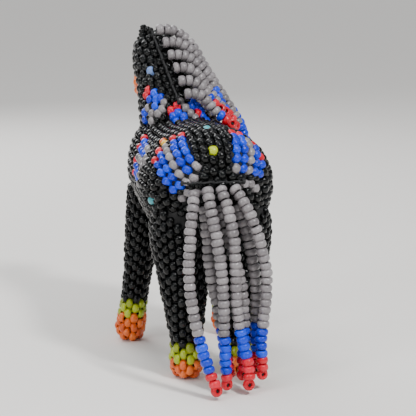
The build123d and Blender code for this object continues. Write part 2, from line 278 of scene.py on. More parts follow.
# ------------------------------------------------------------------ hanging strands
# Routes from root to tip along the middle of the beads, in millimetres. They are the CAD's, but mane strand 6
# ends about 1 mm lower, to close a gap over the shoulder.
TAIL_ROUTES = {
    1: [(5.3, 22.0, 35.2), (5.7, 23.6, 33.4), (6.3, 24.8, 30.6), (6.8, 25.6, 26.8), (7.1, 26.1, 22.6),
        (7.0, 26.5, 18.6), (6.4, 26.9, 14.6), (5.6, 27.3, 10.6), (4.5, 27.9, 6.5), (3.4, 28.6, 3.2),
        (2.6, 29.0, 0.8)],
    2: [(3.0, 22.1, 35.8), (3.0, 23.6, 34.1), (2.7, 24.7, 31.2), (2.0, 25.4, 27.4), (1.5, 25.7, 23.0),
        (1.0, 25.9, 18.8), (0.9, 26.0, 14.8), (0.8, 26.1, 10.6), (0.6, 26.0, 6.6), (0.5, 25.9, 3.6),
        (0.2, 25.8, 0.9)],
    3: [(0.7, 22.2, 35.9), (0.3, 23.8, 34.3), (-0.4, 25.0, 31.2), (-1.0, 25.7, 26.8), (-1.2, 25.9, 22.6),
        (-1.2, 26.0, 18.6), (-1.5, 26.0, 14.8), (-1.9, 26.1, 11.2), (-2.8, 26.4, 7.6), (-3.5, 26.8, 4.2),
        (-3.4, 27.2, 1.0)],
    4: [(-1.6, 22.1, 35.8), (-2.8, 23.5, 34.2), (-4.4, 24.6, 30.6), (-5.8, 25.2, 26.4), (-6.7, 25.4, 22.2),
        (-7.0, 25.5, 18.6), (-6.6, 25.3, 14.8), (-6.1, 25.2, 11.0), (-6.1, 25.0, 7.4), (-6.2, 24.9, 4.4),
        (-6.3, 24.9, 2.0)],
    5: [(3.3, 21.8, 32.5), (3.4, 22.6, 30.1), (3.2, 23.1, 27.2), (2.9, 23.4, 23.4), (2.5, 23.6, 19.6),
        (1.7, 23.7, 15.8), (1.0, 23.8, 12.2), (0.4, 23.8, 8.6), (-0.3, 23.7, 5.2), (-0.8, 23.5, 2.2)],
    6: [(0.7, 21.9, 32.6), (0.3, 22.9, 30.2), (-0.6, 23.4, 27.0), (-1.7, 23.6, 23.4), (-2.7, 23.7, 19.6),
        (-3.2, 23.8, 15.6), (-3.3, 23.8, 11.8), (-3.1, 23.9, 8.2), (-3.0, 24.0, 5.0), (-3.1, 24.2, 2.0)],
    7: [(-2.2, 21.7, 32.6), (-3.3, 22.4, 30.0), (-4.2, 22.7, 26.8), (-4.9, 22.9, 23.2), (-5.5, 23.0, 19.4),
        (-5.7, 23.0, 15.6), (-5.6, 22.9, 11.8), (-5.6, 22.8, 8.4), (-5.9, 22.7, 5.2), (-6.0, 22.5, 2.4)],
}
MANE_ROUTES = {
    1: [(4.0, -15.9, 61.2), (2.0, -15.9, 61.5), (-0.1, -15.9, 60.9), (-2.0, -15.8, 59.4), (-3.7, -15.7, 57.2),
        (-5.2, -15.5, 54.4), (-6.9, -15.2, 51.4), (-8.9, -14.9, 48.4), (-11.0, -14.6, 45.4),
        (-12.9, -14.4, 42.0), (-13.6, -14.2, 38.2)],
    2: [(3.4, -13.6, 58.8), (1.4, -13.6, 59.2), (-0.6, -13.6, 58.6), (-2.5, -13.4, 57.2), (-4.2, -13.2, 55.2),
        (-5.8, -13.0, 52.6), (-7.5, -12.6, 49.8), (-9.4, -12.3, 46.8), (-11.3, -12.1, 43.7),
        (-13.0, -11.9, 40.2), (-13.5, -11.7, 36.4)],
    3: [(2.8, -11.4, 56.5), (0.9, -11.3, 56.8), (-1.1, -11.2, 56.3), (-3.0, -11.0, 55.0), (-4.6, -10.7, 53.1),
        (-5.9, -10.4, 50.5), (-7.3, -10.1, 47.6), (-9.1, -9.8, 44.8), (-10.8, -9.6, 42.2)],
    4: [(2.3, -9.1, 54.1), (0.3, -9.1, 54.5), (-1.6, -9.0, 53.9), (-3.1, -8.9, 52.5), (-4.5, -8.6, 50.2),
        (-5.9, -8.2, 48.1), (-7.1, -7.8, 46.5), (-8.2, -7.4, 45.2)],
    5: [(1.7, -6.9, 51.8), (-0.2, -6.8, 52.1), (-2.0, -6.7, 51.5), (-3.4, -6.6, 50.1), (-4.5, -6.4, 48.3),
        (-5.7, -6.1, 46.9), (-6.8, -5.6, 46.0)],
    6: [(1.1, -4.6, 49.4), (-0.8, -4.5, 49.8), (-2.5, -4.4, 49.2), (-3.8, -4.2, 47.7), (-5.0, -3.8, 46.0),
        (-6.6, -3.4, 44.9), (-8.6, -3.0, 43.4)],
}
STRAND_PITCH = 1.29     # spacing of the beads on their thread
STRAND_FIT = 0.985      # share of that spacing that a bead fills
BARE_END = 0.1          # thread left bare at each end of a strand
THREAD_R = 0.3
GROUND_GAP = 0.03       # the strands' lowest points stay this far above the ground


def place(points):
    """Moves points of the unshifted figure to the frame."""
    return np.asarray(points, float) + np.array([0.0, SHIFT, 0.0])


def smooth_line(route):
    """Points of the smooth line that a route guides, root to tip, read from its NURBS spline."""
    curve = bpy.data.curves.new("route", "CURVE")
    curve.dimensions = "3D"
    curve.resolution_u = 16
    spline = curve.splines.new("NURBS")
    spline.points.add(len(route) - 1)
    for point, at in zip(spline.points, route):
        point.co = (*(np.asarray(at) * MM), 1.0)
    spline.order_u = 3
    spline.use_endpoint_u = True
    holder = link(bpy.data.objects.new("route", curve))
    read = bpy.data.meshes.new_from_object(holder)
    line = np.array([v.co for v in read.vertices]) / MM
    bpy.data.objects.remove(holder)
    bpy.data.meshes.remove(read)
    return line


WAY_REACH = 0.4         # a line's direction is read this far before and after a point


def along_line(line, distances):
    """(points, directions) at these distances along a line."""
    travelled = np.concatenate([[0], np.cumsum(np.linalg.norm(np.diff(line, axis=0), axis=1))])

    def points(where):
        return np.stack([np.interp(where, travelled, line[:, k]) for k in range(3)], axis=1)

    way = points(distances + WAY_REACH) - points(distances - WAY_REACH)
    return points(distances), way / np.linalg.norm(way, axis=1)[:, None]


def tube(line, radius, sides=8):
    """Closed round tube along a line: vertices and faces."""
    way = np.gradient(line, axis=0)
    way /= np.linalg.norm(way, axis=1)[:, None]
    side = np.cross(way, [0.3, 0.9, 0.1])
    side /= np.linalg.norm(side, axis=1)[:, None]
    up = np.cross(way, side)
    turn = 2 * np.pi * np.arange(sides) / sides
    spokes = np.cos(turn)[None, :, None] * side[:, None] + np.sin(turn)[None, :, None] * up[:, None]
    rings = line[:, None] + radius * spokes
    verts = np.vstack([rings.reshape(-1, 3), line[:1], line[-1:]])
    faces = []
    for i in range(len(line) - 1):
        for k in range(sides):
            n = (k + 1) % sides
            faces.append((i * sides + k, i * sides + n, (i + 1) * sides + n, (i + 1) * sides + k))
    last = (len(line) - 1) * sides
    for k in range(sides):
        n = (k + 1) % sides
        faces.append((len(verts) - 2, n, k))
        faces.append((len(verts) - 1, last + k, last + n))
    return verts, faces


STRAND_COLOURS = ("grey", "blue", "red")


def bead_strand(name, route, blue, red):
    """One hanging strand: grey, blue, then coral beads on their thread, and a turning bead at the tip."""
    line = smooth_line(place(route))
    length = float(np.linalg.norm(np.diff(line, axis=0), axis=1).sum())
    count = int((length - 3 * BARE_END) / STRAND_PITCH)
    pitch = (length - 2 * BARE_END) / count
    at, way = along_line(line, BARE_END + pitch * (np.arange(count) + 0.5))
    verts, faces, slots, tints = [], [], [], []
    verts_0, faces_0 = STRAND_BEAD
    for i in range(count):
        left = count - 1 - i
        colour = 2 if left < red else 1 if left < red + blue else 0
        axis = way[i]
        if left == 0:
            # the thread turns back through this last bead, which lies across the strand
            across = np.array([0.3 * math.sin(len(name) * i), 1.0, 0.25])
            axis = across - way[i] * np.dot(across, way[i])
        bead = Bead(at[i], axis, np.cross(axis, [0.9, 0.1, 0.4]))
        turn, size, middle = jittered(bead, tilt=3.5)
        # the beads of a strand fill its thread, with a hair of room between them
        size = size * np.array([pitch / BEAD_L * STRAND_FIT, 1.0, 1.0])
        verts.append((verts_0 * size) @ turn.T + middle)
        faces.append(faces_0 + i * len(verts_0))
        slots.append(np.full(len(faces_0), colour))
        tints.append(np.full(len(verts_0), rng.random()))
    verts = np.vstack(verts)
    verts[:, 2] = np.maximum(verts[:, 2], GROUND_GAP)
    obj = mesh_object(f"{name}_beads", verts, np.vstack(faces), [COLOURS[c] for c in STRAND_COLOURS],
                      np.concatenate(slots), np.concatenate(tints))
    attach(obj, name)
    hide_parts(name)
    thread_verts, thread_faces = tube(line, THREAD_R)
    thread = mesh_object(f"{name}_thread", thread_verts, thread_faces, [THREAD])
    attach(thread, name)


# how many blue and coral beads each strand ends with
TAIL_ENDS = {1: (5, 3), 2: (5, 2), 3: (4, 4), 4: (4, 3), 5: (4, 3), 6: (4, 3), 7: (4, 3)}
MANE_ENDS = {1: (5, 1), 2: (4, 1), 3: (4, 3), 4: (0, 1), 5: (1, 2), 6: (1, 2)}
for number, route in TAIL_ROUTES.items():
    bead_strand(f"tail_strand_{number}", route, *TAIL_ENDS[number])
for number, route in MANE_ROUTES.items():
    bead_strand(f"mane_strand_{number}", route, *MANE_ENDS[number])


# ------------------------------------------------------------------ forms
# (x centre, y centre, z centre, half width, half height, tilt) of each cross-section, as in the CAD
BODY = [
    (0.0, 21.0, 35.9, 0.3, 0.3, 0), (0.0, 20.75, 35.8, 2.6, 2.6, 0), (0.0, 19.8, 35.6, 5.8, 5.8, 0),
    (0.0, 17.2, 35.2, 9.2, 8.8, 0), (0.0, 13.6, 34.6, 11.4, 10.6, 0), (0.0, 8.5, 34.2, 12.2, 11.2, 0),
    (0.0, 2.0, 34.4, 11.8, 10.8, 0), (0.0, -5.0, 35.0, 11.4, 10.6, 0), (0.0, -11.0, 35.8, 11.0, 10.6, 0),
    (0.0, -15.5, 36.6, 9.4, 9.6, 0), (0.0, -18.4, 37.4, 6.6, 7.2, 0), (0.0, -19.7, 37.8, 3.2, 3.6, 0),
    (0.0, -20.0, 37.9, 0.3, 0.3, 0)]
NECK = [
    (0.2, -7.0, 37.5, 8.6, 8.2, 30), (0.8, -11.0, 43.0, 7.6, 7.6, 48), (1.7, -14.3, 48.2, 6.4, 6.6, 58),
    (2.7, -17.4, 53.0, 5.4, 5.7, 56), (3.4, -20.0, 56.6, 4.8, 5.0, 50), (3.6, -21.2, 58.2, 3.2, 3.4, 50),
    (3.6, -21.5, 58.6, 0.3, 0.3, 50)]
HEAD = [
    (3.5, -17.6, 57.45, 0.3, 0.3, -12), (3.5, -17.8, 57.4, 2.4, 2.2, -12), (3.5, -19.2, 57.2, 4.2, 4.0, -16),
    (3.2, -22.4, 56.4, 4.5, 4.6, -24), (2.7, -26.2, 54.2, 3.8, 4.2, -34), (2.4, -30.0, 51.3, 3.5, 3.7, -40),
    (2.2, -32.8, 48.9, 3.4, 3.4, -40), (2.1, -34.4, 47.5, 2.2, 2.1, -40), (2.05, -34.7, 47.25, 0.3, 0.3, -40)]
# (x, y, z, half width, half depth) down a left leg
HIND_LEG = [
    (6.0, 12.0, 31.0, 5.0, 7.0), (5.8, 12.6, 25.0, 5.4, 6.2), (5.4, 13.2, 20.0, 4.9, 5.0),
    (5.2, 13.8, 15.0, 4.3, 4.3), (5.0, 14.0, 10.0, 3.5, 3.5), (4.8, 14.0, 5.6, 3.1, 3.1),
    (4.7, 13.8, 2.2, 3.2, 3.3), (4.7, 13.8, 1.0, 2.6, 2.7)]
FRONT_LEG = [
    (6.4, -10.5, 32.0, 4.6, 5.4), (7.2, -11.5, 26.0, 4.1, 4.4), (8.2, -12.5, 18.0, 3.3, 3.5),
    (9.1, -13.5, 10.0, 2.8, 2.9), (9.6, -14.0, 6.0, 2.9, 3.0), (9.9, -14.4, 2.4, 3.1, 3.2),
    (9.9, -14.4, 1.0, 2.5, 2.6)]


def natural_spline(knots, values, at):
    """Natural cubic spline through values at knots, read at the points at."""
    n = len(knots)
    gaps = np.diff(knots)
    system = np.zeros((n, n))
    right = np.zeros((n, values.shape[1]))
    system[0, 0] = system[-1, -1] = 1
    for i in range(1, n - 1):
        system[i, i - 1], system[i, i], system[i, i + 1] = gaps[i - 1], 2 * (gaps[i - 1] + gaps[i]), gaps[i]
        right[i] = 6 * ((values[i + 1] - values[i]) / gaps[i] - (values[i] - values[i - 1]) / gaps[i - 1])
    second = np.linalg.solve(system, right)
    i = np.clip(np.searchsorted(knots, at, side="right") - 1, 0, n - 2)
    h = gaps[i][:, None]
    low, high = ((knots[i + 1] - at)[:, None]), ((at - knots[i])[:, None])
    return (second[i] * low ** 3 + second[i + 1] * high ** 3) / (6 * h) \
        + (values[i] / h - second[i] * h / 6) * low + (values[i + 1] / h - second[i + 1] * h / 6) * high


LEAST_HALF = 0.02       # an inset form's ends close to this half width


class Form:
    """A smooth form through elliptical cross-sections, cut into many thin ones from end to end."""

    def __init__(self, stations, inset, count=900):
        table = np.array(stations, float)
        if table.shape[1] == 5:
            # a leg's cross-sections are level
            table = np.hstack([table, np.full((len(table), 1), -90.0)])
        centre, half = table[:, :3], table[:, 3:5]
        steps = np.linalg.norm(np.diff(centre, axis=0), axis=1) + np.abs(np.diff(half, axis=0)).max(axis=1)
        knots = np.concatenate([[0], np.cumsum(steps)])
        at = np.linspace(0, knots[-1], count)
        dense = natural_spline(knots, table, at)
        self.centre = dense[:, :3]
        self.half = np.maximum(dense[:, 3:5] - inset, LEAST_HALF)
        tilt = np.radians(dense[:, 5])
        zero = np.zeros(count)
        self.wide = np.tile([1.0, 0.0, 0.0], (count, 1))
        self.tall = np.stack([zero, np.sin(tilt), np.cos(tilt)], axis=1)
        self.facing = np.stack([zero, -np.cos(tilt), np.sin(tilt)], axis=1)
        quarters = (0, math.pi / 2, math.pi, -math.pi / 2)
        lines = [self.point(np.arange(count), np.full(count, q)) for q in quarters]
        steps = [np.linalg.norm(np.diff(p, axis=0), axis=1) for p in lines]
        self.along = sum(np.concatenate([[0], np.cumsum(step)]) for step in steps) / len(quarters)

    def point(self, index, angle):
        """Point of section index at an angle from its top, growing towards +X."""
        a, b = self.half[index, 0], self.half[index, 1]
        return self.centre[index] + self.wide[index] * (a * np.sin(angle))[:, None] \
            + self.tall[index] * (b * np.cos(angle))[:, None]

    def ring(self, index, count=241):
        """(angles, arc length from the top) of one section, from the bottom round the top to the bottom."""
        angle = np.linspace(-math.pi, math.pi, count)
        points = self.point(np.full(count, index), angle)
        arc = np.concatenate([[0], np.cumsum(np.linalg.norm(np.diff(points, axis=0), axis=1))])
        return angle, arc - arc[count // 2]

    def place_at(self, index, angle):
        """(point, direction round the form, direction out of it) at an angle of one section."""
        row, turn = np.array([index]), np.array([angle])
        at = self.point(row, turn)[0]
        around = self.point(row, turn + 0.01)[0] - at
        out = np.cross(around, self.point(row + 1, turn)[0] - at)
        out *= math.copysign(1, np.dot(out, at - self.centre[index])) / max(np.linalg.norm(out), 1e-9)
        return at, around / np.linalg.norm(around), out

    def inside(self, points, grow):
        """Which points lie in the form, made larger all round by grow."""
        points = np.asarray(points, float)
        found = np.zeros(len(points), bool)
        for k in range(0, len(points), 200):
            q = points[k:k + 200]
            offset = q[:, None] - self.centre[None]
            depth = np.einsum("pij,ij->pi", offset, self.facing)
            u = np.einsum("pij,ij->pi", offset, self.wide) / (self.half[:, 0] + grow)
            v = np.einsum("pij,ij->pi", offset, self.tall) / (self.half[:, 1] + grow)
            # a point counts for a section when it is close to that section's plane
            near = np.abs(depth) < 0.25 + 0.02 * np.abs(offset).sum(axis=2)
            found[k:k + 200] = ((u * u + v * v < 1) & near).any(axis=1)
        return found


class Bed:
    """Close-set places on a form where the middle of a bead may lie."""

    def __init__(self, form, hidden_by, grow, spacing=0.2):
        parts = []
        rows = np.searchsorted(form.along, np.arange(0.05, form.along[-1] - 0.05, spacing))
        for index in np.clip(rows, 1, len(form.along) - 2):
            angle, arc = form.ring(index, 121)
            offset = np.arange(arc[0], arc[-1], spacing) + spacing * 0.5 * (index % 2)
            q = np.interp(offset, arc, angle)
            here = np.full(len(q), index)
            at = form.point(here, q)
            around = form.point(here, q + 0.01) - form.point(here, q - 0.01)
            ahead = form.point(here + 1, q) - form.point(here - 1, q)
            out = np.cross(around, ahead)
            out *= np.sign(np.einsum("ij,ij->i", out, at - form.centre[index]))[:, None]
            parts.append((at, around, out, offset, np.full(len(q), form.along[index])))
        self.at, self.axis, self.out, self.offset, self.along = (np.concatenate(x) for x in zip(*parts))
        self.axis /= np.linalg.norm(self.axis, axis=1)[:, None]
        self.out /= np.maximum(np.linalg.norm(self.out, axis=1), 1e-9)[:, None]
        keep = np.ones(len(self.at), bool)
        for other in hidden_by:
            box_low = (other.centre - other.half.max(axis=1)[:, None]).min(axis=0) - 1
            box_high = (other.centre + other.half.max(axis=1)[:, None]).max(axis=0) + 1
            near = np.flatnonzero(((self.at > box_low) & (self.at < box_high)).all(axis=1))
            keep[near[other.inside(self.at[near], grow)]] = False
        for field in ("at", "axis", "out", "offset", "along"):
            setattr(self, field, getattr(self, field)[keep])
        # distance to the nearest and the second nearest bead, where 1 is as close as two beads nest
        self.nearest = np.full(len(self.at), 9.0)
        self.second = np.full(len(self.at), 9.0)

    def settle(self, at, axis):
        """Takes up the room of a bead placed at a point."""
        gap = self.at - at
        lengthways = gap @ axis
        crossways = np.maximum(np.einsum("ij,ij->i", gap, gap) - lengthways ** 2, 0)
        apart = np.sqrt((lengthways / ROOM_ROUND) ** 2 + crossways / PITCH_ALONG ** 2)
        second = np.minimum(self.second, np.maximum(self.nearest, apart))
        self.nearest = np.minimum(self.nearest, apart)
        self.second = second


LATTICE_REACH = 0.25    # a regular stitch may sit this far from its exact place
LATTICE_ROOM = 0.8      # and is left out where another bead is closer than this
# then beads go where this much room is left, the last of them smaller
FILLS = ((0.88, 1.0), (0.76, 0.95), (0.66, 0.82))


def stitched(bed, neighbours, pattern=None, columns=12):
    """Covers a bed with beads: regular columns out from its top line, then more beads in the gaps."""
    pattern = pattern or {}
    for bead in neighbours:
        bed.settle(bead.at, bead.axis)
    beads = []

    def put(i, cell=None, scale=1.0):
        if cell is None:
            column = bed.offset[i] / PITCH_ROUND
            level = bed.along[i] / LEVEL
            # the nearest stitch of the pattern's grid, where odd columns hold odd rows
            choices = [(c, r) for c in (math.floor(column), math.ceil(column))
                       for r in range(math.floor(level) - 1, math.ceil(level) + 2) if (c + r) % 2 == 0]
            cell = min(choices, key=lambda g: (0.7 * (g[0] - column)) ** 2 + (0.5 * (g[1] - level)) ** 2)
            taken = any((b.column, b.level) == cell for b in beads)
            colour = "black" if taken else pattern.get(cell, "black")
        else:
            colour = pattern.get(cell, "black")
        beads.append(Bead(bed.at[i], bed.axis[i], bed.out[i], colour, *cell, scale=scale))
        bed.settle(bed.at[i], bed.axis[i])

    last = int(bed.along.max() / LEVEL)
    for column in sorted(range(-columns, columns + 1), key=abs):
        strip = np.flatnonzero(np.abs(bed.offset - column * PITCH_ROUND) < LATTICE_REACH)
        for level in range(abs(column) % 2, last + 1, 2):
            here = strip[np.abs(bed.along[strip] - level * LEVEL) < LATTICE_REACH]
            here = here[bed.nearest[here] >= LATTICE_ROOM]
            if len(here):
                aside = np.abs(bed.offset[here] - column * PITCH_ROUND)
                ahead = np.abs(bed.along[here] - level * LEVEL)
                put(here[(aside + ahead).argmin()], (column, level))
    for share, scale in FILLS:
        while True:
            free = np.flatnonzero(bed.nearest >= share)
            if not len(free):
                break
            # the place that nests best between two beads, and of equals the one nearest the top line
            score = bed.second[free] + 0.25 * bed.nearest[free] + 0.004 * np.abs(bed.offset[free])
            put(free[score.argmin()], scale=scale)
    return beads


# the beads crowd inside a narrow tube, so a round's stitches are counted this far outside their middles
CROWDING = 0.7
COLUMN_WIDTHS = (1.26, 1.5)  # outside these, a round takes more or fewer columns
LEG_TOP_GROW = -0.3     # leg beads stop this far inside the body
LEAST_GAP = 1.3         # and this close to a bead of the body


def ringed(form, body, neighbours):
    """Beads in level rounds of a leg, every other stitch in each, with fewer columns where it narrows."""
    beads = []
    columns = 0
    levels = int(form.along[-1] / LEVEL)
    step = form.along[-1] / levels
    for level in range(levels + 1):
        index = int(np.clip(np.searchsorted(form.along, level * step), 1, len(form.along) - 2))
        angle, arc = form.ring(index)
        girth = arc[-1] - arc[0] + 2 * math.pi * CROWDING
        if not columns or not COLUMN_WIDTHS[0] < girth / columns < COLUMN_WIDTHS[1]:
            columns = max(4, 2 * round(girth / PITCH_ROUND / 2))
        for k in range(level % 2, columns, 2):
            q = np.interp(arc[0] + (arc[-1] - arc[0]) * k / columns, arc, angle)
            bead = Bead(*form.place_at(index, q), column=k, level=level)
            bead.width = girth / columns / PITCH_ROUND
            beads.append(bead)
    spots = np.array([b.at for b in beads])
    hidden = body.inside(spots, LEG_TOP_GROW)
    others = np.array([b.at for b in neighbours])
    for i, spot in enumerate(spots):
        if not hidden[i] and np.linalg.norm(others - spot, axis=1).min() < LEAST_GAP:
            hidden[i] = True
    return [b for b, h in zip(beads, hidden) if not h]


# ------------------------------------------------------------------ skins
# Single accents on the body's regular grid, as (column, level): columns count from the top line towards the
# left, levels of half a bead from the form's first end
BODY_PATTERN = {(17, 22): "yellow", (-14, 18): "yellow", (-13, 30): "turquoise", (17, 32): "chartreuse"}
# The feather motifs are beads at places of their own between the regular ones
RUMP = {
    "red": [(3.7, 16.0), (4.8, 17.0), (7.2, 17.0), (8.4, 16.0),
            (-2.6, 13.9), (-3.8, 15.0), (-6.1, 15.0), (-7.2, 12.3)],
    "blue": [(4.1, 14.0), (4.3, 12.0), (4.3, 10.0), (4.1, 8.0),
             (5.1, 15.0), (5.4, 13.0), (5.5, 11.0), (5.4, 9.0), (5.1, 7.1),
             (7.4, 15.0), (7.6, 13.0), (7.7, 11.0), (7.7, 9.2), (7.5, 7.6),
             (8.6, 14.0), (8.8, 12.0), (8.9, 10.2), (8.9, 8.7),
             (-2.6, 12.0), (-2.5, 10.0), (-2.4, 8.0), (-2.2, 6.0),
             (-3.8, 13.0), (-3.7, 11.0), (-3.7, 9.0), (-3.5, 7.0), (-3.3, 5.2),
             (-6.1, 13.0), (-6.1, 11.0), (-6.0, 9.1), (-5.9, 7.3),
             (-7.2, 10.3), (-7.2, 8.5)],
    "grey": [(3.4, 5.9), (4.5, 5.3), (6.3, 16.0), (6.5, 14.0), (6.6, 12.0), (6.6, 10.0), (6.5, 8.1),
             (6.0, 6.4), (5.6, 4.6), (7.2, 6.2), (9.0, 7.4),
             (-2.0, 4.1), (-4.9, 14.0), (-4.9, 12.0), (-4.9, 10.0), (-4.8, 8.0), (-4.6, 6.1),
             (-4.6, 4.4), (-6.0, 5.7), (-7.6, 6.9)],
    "orange": [(5.8, 20.0)], "yellow": [(6.0, 18.0)], "turquoise": [(0.3, 15.9), (13.5, 15.1)],
    "chartreuse": [(0.8, 7.0)]}
SHOULDER = {
    "red": [(6.8, 34.1), (8.0, 33.2), (9.8, 31.8), (11.3, 31.2)],
    "blue": [(7.1, 32.1), (8.1, 31.2), (7.3, 30.2), (8.2, 29.3), (7.4, 28.3), (8.3, 27.4), (8.3, 25.5),
             (10.2, 29.8), (11.2, 29.2), (10.4, 27.9), (11.4, 27.2), (10.7, 26.0), (11.5, 25.2)],
    "grey": [(7.5, 26.4), (7.7, 24.2), (8.6, 22.8), (9.2, 21.0), (9.2, 30.6), (9.2, 28.6), (9.3, 26.6),
             (9.4, 24.7), (10.0, 23.0), (11.0, 23.6), (12.2, 23.2)]}
WITHERS = {
    "red": [(1.9, 5.5), (1.0, 6.4), (-1.7, 4.4)],
    "blue": [(1.9, 3.5), (1.2, 4.4), (1.7, 1.7), (0.6, 2.8), (0.7, 1.1), (-1.5, 8.5), (-1.9, 6.8),
             (-1.0, 6.7), (-2.4, 5.4), (-2.2, 3.5), (-2.7, 2.1)],
    "grey": [(0.3, 7.7), (0.0, 5.8), (-0.5, 4.1), (-1.0, 2.4)],
    "pale": [(2.6, 17.6)]}
NECK_SIDE = {
    "red": [(4.0, 13.6), (4.8, 12.7)],
    "blue": [(3.3, 12.2), (3.4, 10.3), (4.3, 11.1), (3.8, 8.7), (2.7, 10.3), (6.1, 9.1), (6.3, 7.3)],
    "grey": [(2.5, 8.4), (3.0, 6.8), (3.8, 6.1), (4.6, 7.2), (5.2, 9.5), (5.1, 5.4)]}
MOTIF_WIDTH = 1.08      # coloured beads fill their column a little more


def mirrored(motif):
    """The same motif on the other side of the horse."""
    return {colour: [(-column, level) for column, level in spots] for colour, spots in motif.items()}


def sewn_at(form, motif):
    """Beads at places on a form: columns round from its top line, levels of half a bead along it."""
    beads = []
    for colour, spots in motif.items():
        for column, level in spots:
            index = int(np.clip(np.searchsorted(form.along, level * LEVEL), 2, len(form.along) - 2))
            angle, arc = form.ring(index)
            q = np.interp(column * PITCH_ROUND, arc, angle)
            bead = Bead(*form.place_at(index, q), colour, column, level)
            bead.width = MOTIF_WIDTH
            beads.append(bead)
    return beads


BEAD_DEPTH = 1.0        # the beads' middles lie this far inside the form
CORE_DEPTH = 0.95       # and the core's face, near-black as painted shade in the gaps, this far
body_line, neck_line, head_line = Form(BODY, BEAD_DEPTH), Form(NECK, BEAD_DEPTH), Form(HEAD, BEAD_DEPTH)
SIDES = (("left", 1), ("right", -1))
legs = {
    f"{end}_{side_name}": [(side * x, y, z, a, b) for x, y, z, a, b in stations]
    for end, stations in (("hind", HIND_LEG), ("front", FRONT_LEG)) for side_name, side in SIDES}
leg_lines = {name: Form(stations, BEAD_DEPTH) for name, stations in legs.items()}
HIND_BANDS = (3.7, 6.2)  # heights where the orange hoof and the green cuff end
FRONT_BANDS = (4.8, 7.7)
BAND_SCALE = 1.04       # their beads are a little larger


def banded(name, beads):
    """Colours a leg's green cuff and orange hoof. Each band ends in the zigzag of its last round."""
    hoof, cuff = HIND_BANDS if name.startswith("hind") else FRONT_BANDS
    for bead in beads:
        z = bead.at[2]
        bead.colour = "orange" if z < hoof else "chartreuse" if z < cuff else "black"
        bead.scale = 1.0 if bead.colour == "black" else BAND_SCALE
    return beads


body_motifs = sewn_at(body_line, RUMP) + sewn_at(body_line, SHOULDER) + sewn_at(body_line, mirrored(SHOULDER))
neck_motifs = (sewn_at(neck_line, WITHERS) + sewn_at(neck_line, NECK_SIDE)
               + sewn_at(neck_line, mirrored(NECK_SIDE)))
# The eyes: middle and tilt of the head's section they sit on, how far round from its top, how far out
EYE_MIDDLE, EYE_TILT = np.array([2.8, -25.6, 54.6]), math.radians(-32)
EYE_ROUND, EYE_REACH = math.radians(42), 3.85
eye_beads = []
for _, side in SIDES:
    out = np.array([side * math.sin(EYE_ROUND), math.cos(EYE_ROUND) * math.sin(EYE_TILT),
                    math.cos(EYE_ROUND) * math.cos(EYE_TILT)])
    eye_beads.append(Bead(EYE_MIDDLE + out * EYE_REACH, out, np.array([0.0, 0.0, 1.0]), "turquoise"))
body_bed = Bed(body_line, [neck_line, *leg_lines.values()], -0.55)
body_beads = body_motifs + stitched(body_bed, body_motifs + neck_motifs, BODY_PATTERN)
neck_bed = Bed(neck_line, [body_line, head_line], -0.1)
neck_beads = neck_motifs + stitched(neck_bed, body_beads + neck_motifs, columns=9)
head_bed = Bed(head_line, [neck_line], -0.1)
# an eye bead's hole faces outwards, so here a bead that lies across it stands for the room it takes
eye_room = [Bead(b.at, np.array([1.0, 0, 0]), b.out) for b in eye_beads]
head_beads = stitched(head_bed, neck_beads + eye_room, columns=7)
# the muzzle is orange in front of a slanting line across the head
MUZZLE_Y, MUZZLE_Z, MUZZLE_SLANT = -28.8, 52.2, 0.78
for bead in head_beads:
    if bead.at[1] < MUZZLE_Y - MUZZLE_SLANT * (bead.at[2] - MUZZLE_Z):
        bead.colour = "orange"
leg_sets = {name: banded(name, ringed(line, body_line, body_beads)) for name, line in leg_lines.items()}
# three beads inside the last round close each sole
SOLE_BEADS, SOLE_RADIUS, SOLE_Z = 3, 0.75, 1.0
for name, stations in legs.items():
    x, y = stations[-1][:2]
    for k in range(SOLE_BEADS):
        turn = 2 * math.pi * k / SOLE_BEADS
        spoke = np.array([math.cos(turn), math.sin(turn), 0.0])
        leg_sets[name].append(Bead(np.array([x, y, SOLE_Z]) + SOLE_RADIUS * spoke, np.cross(spoke, (0, 0, 1)),
                                   np.array([0.0, 0.0, -1.0]), "orange"))

# each colour goes in a piece of its own: a motif's blue and coral beads belong to the skin they are sewn into
SOLE_GAP = 0.02         # the soles' lowest points stay this far above the ground


def bead_piece(name, beads, colour, replaced=()):
    """One object of all the beads of one colour, if there are any."""
    chosen = [b for b in beads if b.colour == colour]
    if not chosen:
        return
    verts, faces, tint = beads_to_mesh(chosen)
    verts[:, 2] = np.maximum(verts[:, 2], SOLE_GAP)
    obj = mesh_object(name, place(verts), faces, [COLOURS[colour]], tint=tint)
    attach(obj, "horse")
    if replaced:
        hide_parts(*replaced)


for region, beads, replaced in (
        ("body", body_beads, ("body_beadwork",)), ("neck", neck_beads, ("neck_beadwork",)),
        ("head", head_beads, ("head_beadwork", "muzzle_beadwork"))):
    for colour in COLOURS:
        if (region, colour) == ("body", "black"):
            continue
        bead_piece(f"{region}_{colour}_beads", beads, colour, replaced if colour == "black" else ())
# the body's black beads make four pieces, because they are too many for one
BODY_MIDDLE_Y = 4
for side_name, side in SIDES:
    for end_name, end in (("rear", 1), ("front", -1)):
        beads = [b for b in body_beads
                 if (b.at[0] >= 0) == (side > 0) and (b.at[1] >= BODY_MIDDLE_Y) == (end > 0)]
        bead_piece(f"body_{side_name}_{end_name}_black_beads", beads, "black", ("body_beadwork",))
for name, beads in leg_sets.items():
    for colour, band in (("black", "leg"), ("chartreuse", "cuff"), ("orange", "hoof")):
        bead_piece(f"{name}_{band}_beads", beads, colour, (f"{name}_{band}_beadwork",))


